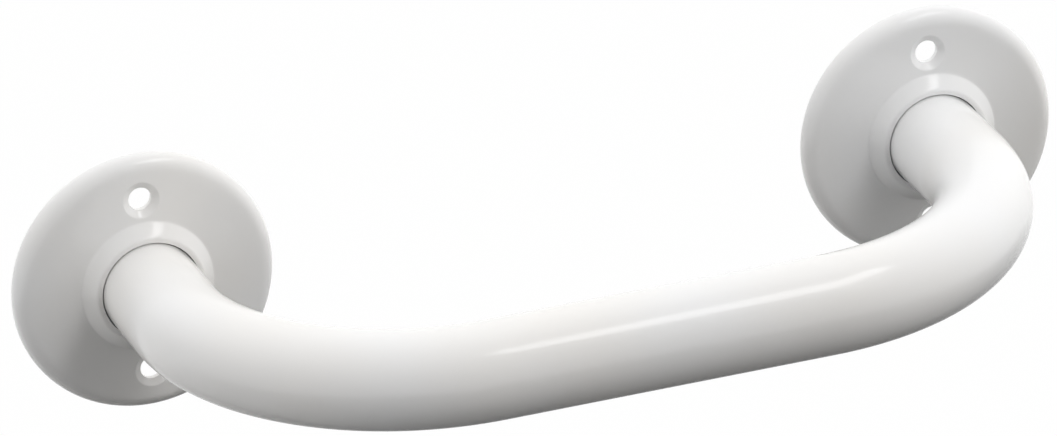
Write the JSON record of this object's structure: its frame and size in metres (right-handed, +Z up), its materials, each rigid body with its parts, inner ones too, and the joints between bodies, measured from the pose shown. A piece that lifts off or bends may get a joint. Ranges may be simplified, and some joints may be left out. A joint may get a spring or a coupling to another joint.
{
  "type": "bathtub grab bar",
  "caption": "Short wall grab bar for a bathtub: a bent white-coated steel tube, each end carrying a round pressed flange that is screwed to the wall.",
  "frame": {"origin": "on the wall plane, midway between the centres of the flanges", "axes": "+X along the grip, +Y into the wall, +Z up; the grip stands out towards -Y"},
  "size_m": [0.278, 0.1025, 0.068],
  "materials": {
    "white_coated_steel": "gloss white epoxy powder coating",
    "zinc_plated_steel": "zinc plated"
  },
  "bodies": {
    "bar": {"grab_tube": "white_coated_steel", "left_retaining_ring": "zinc_plated_steel", "right_retaining_ring": "zinc_plated_steel"},
    "left_flange": {"left_flange": "white_coated_steel"},
    "right_flange": {"right_flange": "white_coated_steel"}
  },
  "joints": [
    {"name": "left_flange_turn", "type": "hinge", "parent": "bar", "child": "left_flange", "pos_m": [-0.105, 0, 0], "axis": [0, -1, 0], "continuous": true},
    {"name": "right_flange_turn", "type": "hinge", "parent": "bar", "child": "right_flange", "pos_m": [0.105, 0, 0], "axis": [0, -1, 0], "continuous": true}
  ]
}
